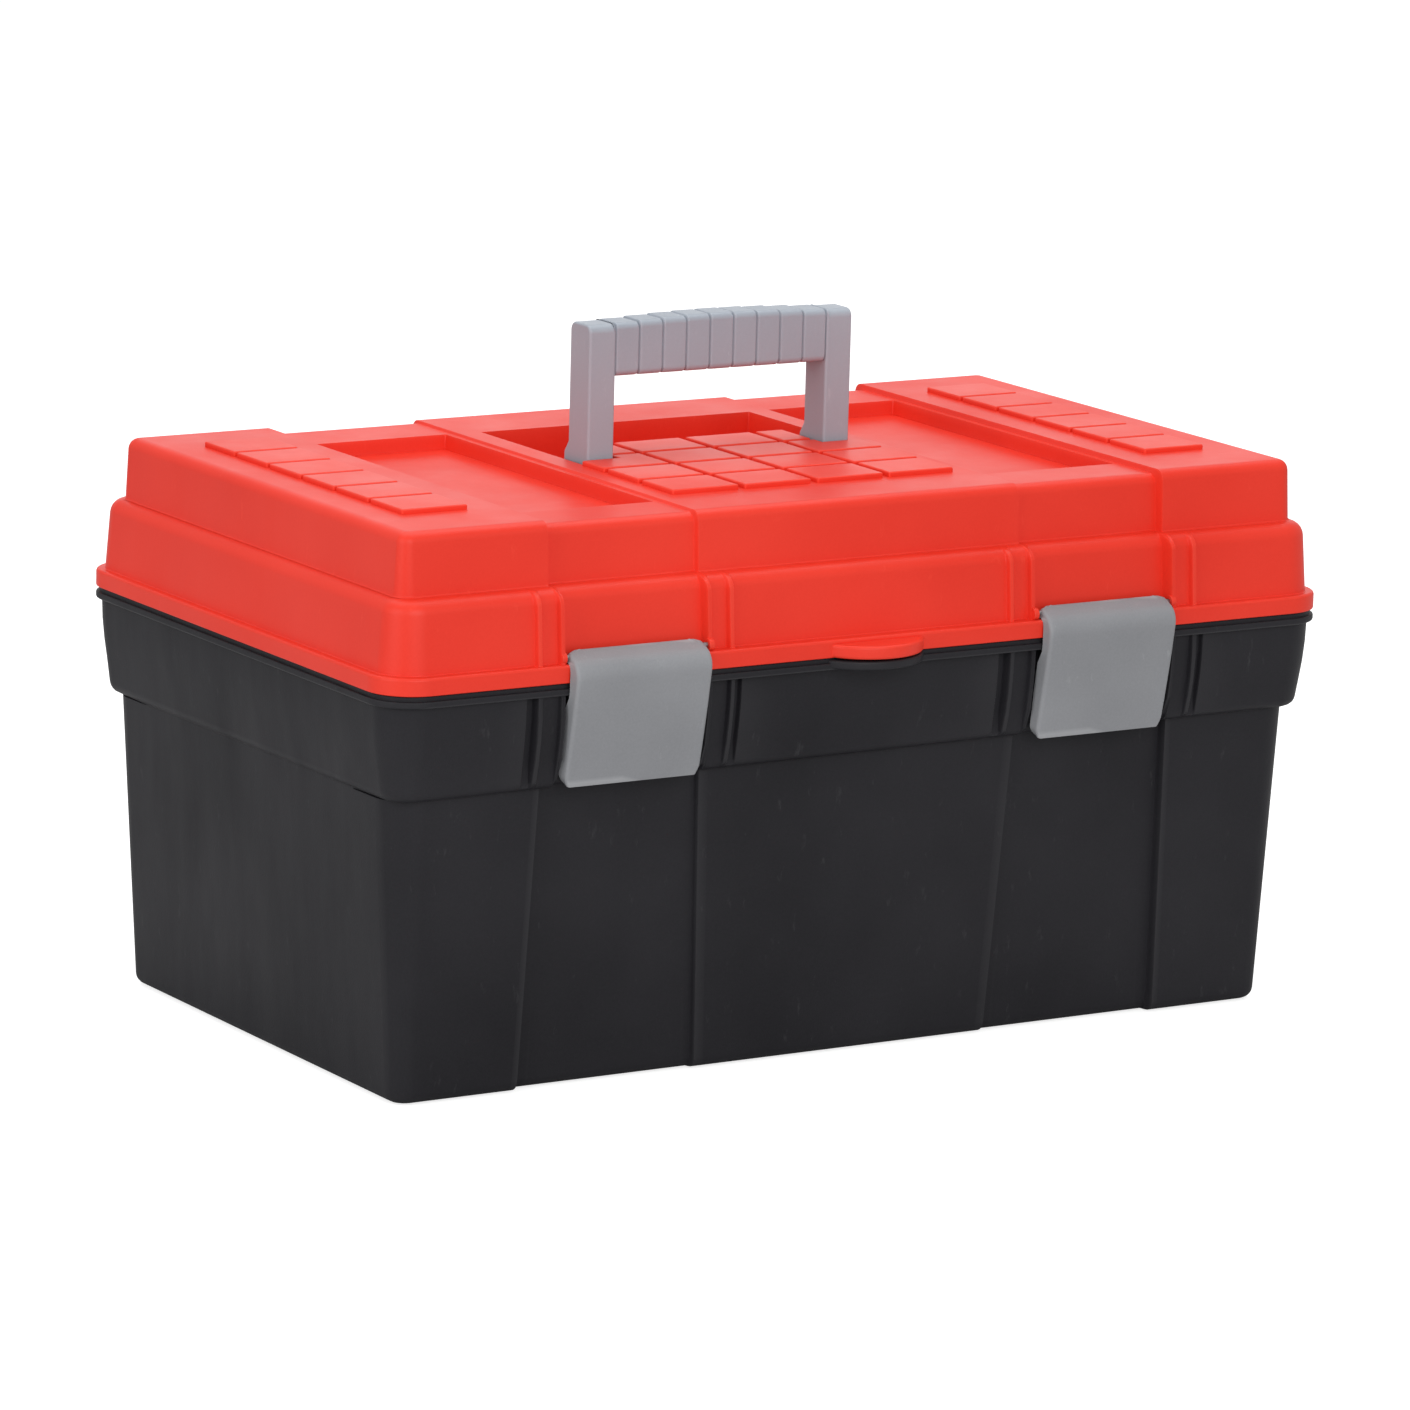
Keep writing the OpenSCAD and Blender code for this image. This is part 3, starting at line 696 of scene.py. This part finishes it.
LATCH_HALF = 30.0
LATCH_T = 1.8
LATCH_BEVEL = 0.35
LATCH_ROW_STEP = 1.6
FACE_COLUMNS = 6
# Rounding of the long edges, of the two corners of the lip, and the cut at the foot's corners
LATCH_EDGE = 1.6
EDGE_STEPS = 5
LATCH_TOP_CORNER = 3.0
LATCH_FOOT_CUT = (1.2, 3.0)
# The side walls spread by the first amount at the lip and by the second one further down
LATCH_FLARE = (0.4, 1.0)
FLARE_MIDDLE = 10.0
FLARE_SOFT = 8.0
# A small nub on the lip at each end: its place and its columns, as shares of the half width
NUB_PLACE = 0.93
NUB_COLUMNS = (0.035, 0.018, 0.0, -0.018, -0.035)
NUB_H = 0.9
NUB_LENGTH = 2.2
# Down the cover: how far its face and then its side wall's back edge stand in front
# of the flange, each with its height
LATCH_LINE = [
    (-4.5, 174.0, -5.1, 172.3),
    (-2.4, 172.8, -5.1, 170.8),
    (0.1, 171.45, -4.3, 170.0),
    (1.3, 170.75, -3.0, 169.8),
    (2.4, 169.85, -1.8, 169.9),
    (3.3, 168.75, -0.9, 169.4),
    (4.0, 167.5, 0.0, 168.6),
    (4.45, 166.2, 0.5, 167.5),
    (4.68, 164.9, 0.7, 166.0),
    (4.65, 163.4, 0.75, 164.0),
    (4.1, 160.0, 0.75, 160.0),
    (3.5, 156.8, 0.4, 157.0),
    (2.75, 152.0, -2.4, 152.0),
    (2.0, 148.0, -3.2, 148.0),
    (0.6, 141.0, -4.2, 141.0),
    (-1.3, 132.0, -5.6, 131.4),
    (-2.6, 126.0, -6.1, 127.0),
    (-3.8, 121.0, -6.6, 123.6),
]


def latch_keys():
    """The cover's line and the side wall's back edge, from the lip over the curl to the foot."""
    keys = [LATCH_LINE[0]]
    for key in LATCH_LINE[1:]:
        last = keys[-1]
        count = max(1, round(hypot(key[0] - last[0], key[1] - last[1]) / LATCH_ROW_STEP))
        for k in range(1, count + 1):
            keys.append(tuple(u + (v - u) * k / count for u, v in zip(last, key)))
    return [(-HALF_WIDTH - a, b, -HALF_WIDTH - c, d) for a, b, c, d in keys]


def latch_rows():
    """Rows across the cover, each from one side wall's back edge over the face to the other's."""
    keys = latch_keys()
    length = [0.0]
    for a, b in zip(keys, keys[1:]):
        length.append(length[-1] + hypot(b[0] - a[0], b[1] - a[1]))
    rows = []
    for (y, z, qy, qz), s in zip(keys, length):
        near_top = max(0.0, LATCH_TOP_CORNER - s)
        near_foot = max(0.0, LATCH_FOOT_CUT[1] - (length[-1] - s)) / LATCH_FOOT_CUT[1]
        half = LATCH_HALF - LATCH_TOP_CORNER + sqrt(LATCH_TOP_CORNER**2 - near_top**2)
        half -= near_foot * LATCH_FOOT_CUT[0]
        spread = smooth((s - FLARE_MIDDLE) / FLARE_SOFT)
        flare = LATCH_FLARE[0] + (LATCH_FLARE[1] - LATCH_FLARE[0]) * spread
        nub = NUB_H * (1 - smooth(s / NUB_LENGTH))
        depth = hypot(qy - y, qz - z)
        dy, dz = (qy - y) / depth, (qz - z) / depth
        edge = min(LATCH_EDGE, depth / 2)
        side = [(half + flare, qy, qz)]
        for k in range(EDGE_STEPS + 1):
            a = radians(90 - 90 * k / EDGE_STEPS)
            d = edge - edge * cos(a)
            side.append((half - edge + edge * sin(a), y + dy * d, z + dz * d))
        inner = half - edge
        for step in NUB_COLUMNS:
            lift = nub * (1 - smooth(abs(step) / NUB_COLUMNS[0]))
            side.append((inner * (NUB_PLACE + step), y, z + lift))
        side += [(inner * k / FACE_COLUMNS, y, z) for k in range(FACE_COLUMNS - 1, 0, -1)]
        rows.append([(-x, py, pz) for x, py, pz in side] + [(0.0, y, z)] + side[::-1])
    return rows


def build_latch(name, middle):
    latch = Builder()
    latch.grid([[(x + middle, y, z) for x, y, z in row] for row in latch_rows()])
    obj = latch.make(name, 60.0)
    add_modifier(obj, "SOLIDIFY", thickness=LATCH_T * SCALE, offset=-1.0, use_even_offset=True)
    add_modifier(obj, "BEVEL", width=LATCH_BEVEL * SCALE, segments=2, angle_limit=radians(50))
    return obj


# ---------------------------------------------------------------- carry handle

HANDLE_HALF = 60.8
HANDLE_D = 15.5
LEG_W = 12.0
LEG_ROUND = 3.4
LEG_BEVEL = 1.0
# A stop bulges behind each leg: how far, and the heights above the pivot between which it
# starts, stays full and ends
LEG_BULGE = 3.2
LEG_BULGE_RISE = (1.0, 4.5, 10.5, 15.0)
# Degrees between two points of the legs' rounded foot, and of their rounded top
FOOT_TURN = 12
TOP_TURN = 18

GRIP_HALF = HANDLE_HALF - LEG_W
GRIP_LOW = 255.0
GRIP_HIGH = 276.0
GRIP_ARCH = 1.7
GRIP_ROUND = 2.6
GRIP_TURN = 15
GRIP_SUNK = 1.0
GRIP_SEGMENTS = 9
GRIP_PITCH = 2 * GRIP_HALF / GRIP_SEGMENTS
# The grooves between the grip's segments: depth, half width and the slope beside it
GROOVE = 0.9
GROOVE_HALF = 0.25
GROOVE_SOFT = 0.5
# A segment's ends are lower by this much, which fades out over this length
CROWN = 0.15
CROWN_REACH = 1.6
# Sections beside a groove's middle and, between two grooves, as many equal steps
GROOVE_LINES = (0.0, 0.25, 0.45, 0.6, 0.75, 0.9, 1.3)
SEGMENT_STEPS = 6


def leg_outline():
    y, z = PIVOT
    half = HANDLE_D / 2
    foot = []
    for degrees in range(180, 361, FOOT_TURN):
        a = radians(degrees)
        foot.append((y + half * cos(a), z + half * sin(a)))
    bulges = (0.0, LEG_BULGE, LEG_BULGE, 0.0)
    back = [(y + half + out, z + rise) for out, rise in zip(bulges, LEG_BULGE_RISE)]
    top = []
    for side, start in ((1, 0), (-1, 90)):
        middle = y + side * (half - LEG_ROUND)
        for degrees in range(start, start + 91, TOP_TURN):
            a = radians(degrees)
            top.append((middle + LEG_ROUND * cos(a), GRIP_HIGH - LEG_ROUND + LEG_ROUND * sin(a)))
    return foot + back + top


def grip_ring(x):
    """Rounded section of the grip at x, pinched at the grooves between its level segments."""
    place = (x + GRIP_HALF) / GRIP_PITCH
    to_groove = abs(place - round(place)) * GRIP_PITCH
    pinch = GROOVE * (1 - smooth((to_groove - GROOVE_HALF) / GROOVE_SOFT))
    crown = CROWN * (1 - min(1.0, to_groove / CROWN_REACH)) ** 2
    segment = min(GRIP_SEGMENTS - 1, max(0, int(place)))
    middle = -GRIP_HALF + (segment + 0.5) * GRIP_PITCH
    less = pinch + crown
    half = HANDLE_D / 2 - less
    low = GRIP_LOW + less
    high = GRIP_HIGH + GRIP_ARCH * cos(pi / 2 * middle / GRIP_HALF) - less
    r = GRIP_ROUND
    corners = (
        (half - r, low + r, -90),
        (half - r, high - r, 0),
        (r - half, high - r, 90),
        (r - half, low + r, 180),
    )
    ring = []
    for cy, cz, start in corners:
        for degrees in range(start, start + 91, GRIP_TURN):
            a = radians(degrees)
            ring.append((x, PIVOT[0] + cy + r * cos(a), cz + r * sin(a)))
    return ring


def grip_places():
    """Where the grip's sections are along x: close together at the grooves."""
    end = GRIP_HALF + GRIP_SUNK
    places = {-end, end}
    for i in range(GRIP_SEGMENTS + 1):
        edge = -GRIP_HALF + i * GRIP_PITCH
        places.update(edge + d for d in both_signs(GROOVE_LINES))
        places.update(edge + GRIP_PITCH * k / SEGMENT_STEPS for k in range(1, SEGMENT_STEPS))
    return [x for x in sorted(places) if abs(x) <= end]


def build_handle():
    handle = Builder()
    for side in (-1, 1):
        low, high = sorted((side * GRIP_HALF, side * HANDLE_HALF))
        handle.prism(leg_outline(), low, high, "x", LEG_BEVEL, 4)
    handle.grid([grip_ring(x) for x in grip_places()], closed=True)
    return handle.make("handle", 30.0)


# ---------------------------------------------------------------- materials


def new_material(name):
    material = bpy.data.materials.new(name)
    material.use_nodes = True
    nodes = material.node_tree.nodes
    nodes.clear()
    out = nodes.new("ShaderNodeOutputMaterial")
    shader = nodes.new("ShaderNodeBsdfPrincipled")
    material.node_tree.links.new(shader.outputs["BSDF"], out.inputs["Surface"])
    return material, nodes, material.node_tree.links, shader


def noise(nodes, links, coordinates, scale, detail=4.0, roughness=0.55):
    node = nodes.new("ShaderNodeTexNoise")
    node.inputs["Scale"].default_value = scale
    node.inputs["Detail"].default_value = detail
    node.inputs["Roughness"].default_value = roughness
    links.new(coordinates, node.inputs["Vector"])
    return node.outputs["Fac"]


def to_range(nodes, links, value, from_low, from_high, to_low, to_high):
    """Maps one range of a value to another, and holds it there beyond the ends."""
    node = nodes.new("ShaderNodeMapRange")
    node.inputs["From Min"].default_value = from_low
    node.inputs["From Max"].default_value = from_high
    node.inputs["To Min"].default_value = to_low
    node.inputs["To Max"].default_value = to_high
    links.new(value, node.inputs["Value"])
    return node.outputs["Result"]


def mix_colour(nodes, links, factor, first, second):
    """Mixes two colours, each given as a tuple or as another node's output."""
    node = nodes.new("ShaderNodeMix")
    node.data_type = "RGBA"
    for socket, value in (("A", first), ("B", second)):
        target = next(s for s in node.inputs if s.name == socket and s.type == "RGBA")
        if isinstance(value, tuple):
            target.default_value = (*value, 1.0)
        else:
            links.new(value, target)
    links.new(factor, node.inputs["Factor"])
    return next(s for s in node.outputs if s.type == "RGBA")


def stretched(nodes, links, coordinates, scale):
    node = nodes.new("ShaderNodeMapping")
    node.inputs["Scale"].default_value = scale
    links.new(coordinates, node.inputs["Vector"])
    return node.outputs["Vector"]


def multiply_add(nodes, links, value, factor, added):
    node = nodes.new("ShaderNodeMath")
    node.operation = "MULTIPLY_ADD"
    node.inputs[1].default_value = factor
    links.new(value, node.inputs[0])
    links.new(added, node.inputs[2])
    return node.outputs[0]


# Scales of the plastics' noise, in repeats per metre. Scuffs and flow marks are longer along z.
DRIFT_SCALE = 9.0
SPECK_SCALE = 1100.0
SCUFF_SCALE = 210.0
SCUFF_STRETCH = (1.0, 1.0, 0.35)
FLOW_STRETCH = (1.0, 1.0, 0.25)
ROUGHNESS_SPREAD = 0.06
GRAIN_HEIGHT = 0.0001


def plastic(name, dark, light, worn_and_highlight, roughness, grain, grain_depth, flow, gloss):
    """Moulded plastic: its colour drifts between two tones and is specked with fine grain,
    scuffs turn paler, convex edges are painted paler as a painted highlight, and upright
    flow marks show in its gloss."""
    material, nodes, links, shader = new_material(name)
    place = nodes.new("ShaderNodeTexCoord").outputs["Object"]
    drift = noise(nodes, links, place, DRIFT_SCALE, 3.0)
    speck = noise(nodes, links, place, SPECK_SCALE, 2.0)
    tone = to_range(nodes, links, drift, 0.3, 0.7, 0.0, 0.7)
    specked = multiply_add(nodes, links, speck, 0.4, tone)
    body = mix_colour(nodes, links, specked, dark, light)
    # Pointiness finds the convex edges, which are painted paler: a painted highlight along the
    # rounded edges
    corner = nodes.new("ShaderNodeNewGeometry").outputs["Pointiness"]
    edge_highlight = to_range(nodes, links, corner, 0.51, 0.62, 0.0, 0.5)
    scuff_place = stretched(nodes, links, place, SCUFF_STRETCH)
    scuffs = noise(nodes, links, scuff_place, SCUFF_SCALE, 8.0, 0.7)
    scuffed = to_range(nodes, links, scuffs, 0.62, 0.8, 0.0, 0.6)
    # The paler colour goes on the scuffs, which are wear, and on the convex edges, where it is a
    # painted highlight
    scuff_and_highlight_share = multiply_add(nodes, links, scuffed, 1.0, edge_highlight)
    colour = mix_colour(nodes, links, scuff_and_highlight_share, body, worn_and_highlight)
    links.new(colour, shader.inputs["Base Color"])
    flow_place = stretched(nodes, links, place, FLOW_STRETCH)
    marks = noise(nodes, links, flow_place, flow, 5.0, 0.6)
    smoothest, roughest = roughness - ROUGHNESS_SPREAD, roughness + ROUGHNESS_SPREAD
    rough = to_range(nodes, links, marks, 0.3, 0.7, smoothest, roughest)
    links.new(rough, shader.inputs["Roughness"])
    bump = nodes.new("ShaderNodeBump")
    bump.inputs["Strength"].default_value = grain_depth
    bump.inputs["Distance"].default_value = GRAIN_HEIGHT
    links.new(noise(nodes, links, place, grain, 3.0, 0.5), bump.inputs["Height"])
    links.new(bump.outputs["Normal"], shader.inputs["Normal"])
    shader.inputs["Specular IOR Level"].default_value = gloss
    return material


def steel(name):
    """Dull drawn steel, whose colour and gloss vary together."""
    material, nodes, links, shader = new_material(name)
    place = nodes.new("ShaderNodeTexCoord").outputs["Object"]
    drawn = noise(nodes, links, place, 300.0, 5.0)
    colour = mix_colour(nodes, links, drawn, (0.2, 0.2, 0.205), (0.34, 0.34, 0.345))
    links.new(colour, shader.inputs["Base Color"])
    rough = to_range(nodes, links, drawn, 0.3, 0.7, 0.34, 0.5)
    links.new(rough, shader.inputs["Roughness"])
    shader.inputs["Metallic"].default_value = 1.0
    return material


def wear(obj, material):
    obj.data.materials.clear()
    obj.data.materials.append(material)


# ---------------------------------------------------------------- the pieces

TRAY_BEVEL = 0.45

# Each plastic's paler colour is used for its scuffs and also as the painted highlight on its convex
# edges
black = plastic(
    "tub_plastic",
    dark=(0.0085, 0.0082, 0.0105),
    light=(0.0215, 0.0207, 0.0245),
    worn_and_highlight=(0.055, 0.054, 0.058),
    roughness=0.5,
    grain=1600.0,
    grain_depth=0.5,
    flow=40.0,
    gloss=0.2,
)
red = plastic(
    "lid_plastic",
    dark=(0.72, 0.026, 0.011),
    light=(0.83, 0.043, 0.022),
    worn_and_highlight=(0.88, 0.075, 0.042),
    roughness=0.4,
    grain=1800.0,
    grain_depth=0.12,
    flow=25.0,
    gloss=0.27,
)
grey = plastic(
    "latch_plastic",
    dark=(0.20, 0.204, 0.216),
    light=(0.30, 0.306, 0.322),
    worn_and_highlight=(0.42, 0.425, 0.44),
    roughness=0.5,
    grain=1500.0,
    grain_depth=0.3,
    flow=60.0,
    gloss=0.3,
)
mauve = plastic(
    "handle_plastic",
    dark=(0.285, 0.315, 0.362),
    light=(0.358, 0.392, 0.445),
    worn_and_highlight=(0.48, 0.51, 0.55),
    roughness=0.42,
    grain=1500.0,
    grain_depth=0.2,
    flow=60.0,
    gloss=0.36,
)
metal = steel("pin_steel")

lid = build_lid()
tub = build_tub()
handle = build_handle()
latches = {
    "left": build_latch("latch_cover_left", -LATCH_X),
    "right": build_latch("latch_cover_right", LATCH_X),
}

for obj in (lid, tub, handle):
    add_modifier(obj, "WEIGHTED_NORMAL", keep_sharp=True, weight=80)

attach(lid, "lid")
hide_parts("lid_shell")
wear(lid, red)
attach(tub, "base")
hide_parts("base_shell")
wear(tub, black)
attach(handle, "handle")
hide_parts("carry_handle")
wear(handle, mauve)
for side, latch in latches.items():
    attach(latch, f"{side}_latch")
    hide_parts(f"latch_{side}")
    wear(latch, grey)

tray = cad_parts["lift_out_tray"]
wear(tray, black)
add_modifier(tray, "BEVEL", width=TRAY_BEVEL * SCALE, segments=3, angle_limit=radians(40))
for name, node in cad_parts.items():
    if "_pin_" in name:
        wear(node, metal)

# ---------------------------------------------------------------- stage, light and camera

# How brightly the floor glows to the camera, and the strength of the world's light on the object
FLOOR_LIFT = 0.75
WORLD_LIGHT = 0.5
# In metres, as are the lamps' and the camera's places
FLOOR_SIZE = 30.0
FLOOR_Z = -0.0005


def by_ray(tree, seen, unseen):
    """One value for what the camera sees directly, and another for the light on the object."""
    path = tree.nodes.new("ShaderNodeLightPath")
    is_seen = path.outputs["Is Camera Ray"]
    return to_range(tree.nodes, tree.links, is_seen, 0.0, 1.0, unseen, seen)


def floor_material():
    """Pale paper, bright enough to the camera to be almost lost in the background."""
    material, _, links, shader = new_material("floor_paper")
    shader.inputs["Base Color"].default_value = (0.6, 0.6, 0.6, 1.0)
    shader.inputs["Roughness"].default_value = 0.9
    shader.inputs["Emission Color"].default_value = (1.0, 1.0, 1.0, 1.0)
    lift = by_ray(material.node_tree, FLOOR_LIFT, 0.0)
    links.new(lift, shader.inputs["Emission Strength"])
    return material


def stage_plane(name, size):
    mesh = bpy.data.meshes.new(name)
    half = size / 2
    corners = [(-half, -half, 0), (half, -half, 0), (half, half, 0), (-half, half, 0)]
    mesh.from_pydata(corners, [], [(0, 1, 2, 3)])
    obj = bpy.data.objects.new(name, mesh)
    bpy.context.scene.collection.objects.link(obj)
    return obj


floor = stage_plane("floor", FLOOR_SIZE)
floor.location.z = FLOOR_Z
floor.data.materials.append(floor_material())

world = bpy.data.worlds.new("studio")
bpy.context.scene.world = world
world.use_nodes = True
background = world.node_tree.nodes["Background"]
background.inputs["Color"].default_value = (1.0, 1.0, 1.0, 1.0)
strength = by_ray(world.node_tree, 1.0, WORLD_LIGHT)
world.node_tree.links.new(strength, background.inputs["Strength"])


def softbox(name, place, aim, size, power):
    """A rectangular lamp at a place in metres, aimed at a point: width and height, and watts."""
    light = bpy.data.lights.new(name, "AREA")
    light.shape = "RECTANGLE"
    light.size, light.size_y = size
    light.energy = power
    obj = bpy.data.objects.new(name, light)
    bpy.context.scene.collection.objects.link(obj)
    obj.location = place
    obj.rotation_euler = (Vector(aim) - Vector(place)).to_track_quat("-Z", "Y").to_euler()


softbox("top_softbox", (0.1, 0.3, 1.6), (0, 0, 0.1), (1.8, 1.4), 15.0)
softbox("front_softbox", (-0.4, -1.9, 0.9), (0, 0, 0.15), (1.6, 1.2), 17.0)
softbox("left_softbox", (-1.7, -0.4, 0.7), (0, 0, 0.15), (1.2, 1.2), 9.0)
softbox("back_softbox", (1.3, 2.1, 0.8), (0, 0, 0.2), (2.4, 1.2), 5.5)

# The camera that took the photo, as fitted to it, with its sensor and lens in millimetres
VIEW_AZIMUTH = radians(-31.45)
VIEW_ELEVATION = radians(11.82)
VIEW_ROLL = radians(-1.5)
VIEW_DISTANCE = 3.09128
VIEW_TARGET = Vector((-0.00144, 0.0, 0.1172))
SENSOR_WIDTH = 36.0
LENS = 196.75302
LENS_SHIFT = (0.00329787, 0.00070922)

back = Vector(
    (
        sin(VIEW_AZIMUTH) * cos(VIEW_ELEVATION),
        -cos(VIEW_AZIMUTH) * cos(VIEW_ELEVATION),
        sin(VIEW_ELEVATION),
    )
)
level = Vector((0, 0, 1)).cross(back).normalized()
up = back.cross(level)
right = cos(VIEW_ROLL) * level - sin(VIEW_ROLL) * up
up = sin(VIEW_ROLL) * level + cos(VIEW_ROLL) * up
camera_data = bpy.data.cameras.new("camera")
camera = bpy.data.objects.new("camera", camera_data)
bpy.context.scene.collection.objects.link(camera)
turned = Matrix((right, up, back)).transposed().to_4x4()
camera.matrix_world = Matrix.Translation(VIEW_TARGET + back * VIEW_DISTANCE) @ turned
camera_data.sensor_width = SENSOR_WIDTH
camera_data.lens = LENS
camera_data.shift_x, camera_data.shift_y = LENS_SHIFT
bpy.context.scene.camera = camera
bpy.context.scene.view_settings.view_transform = "Standard"
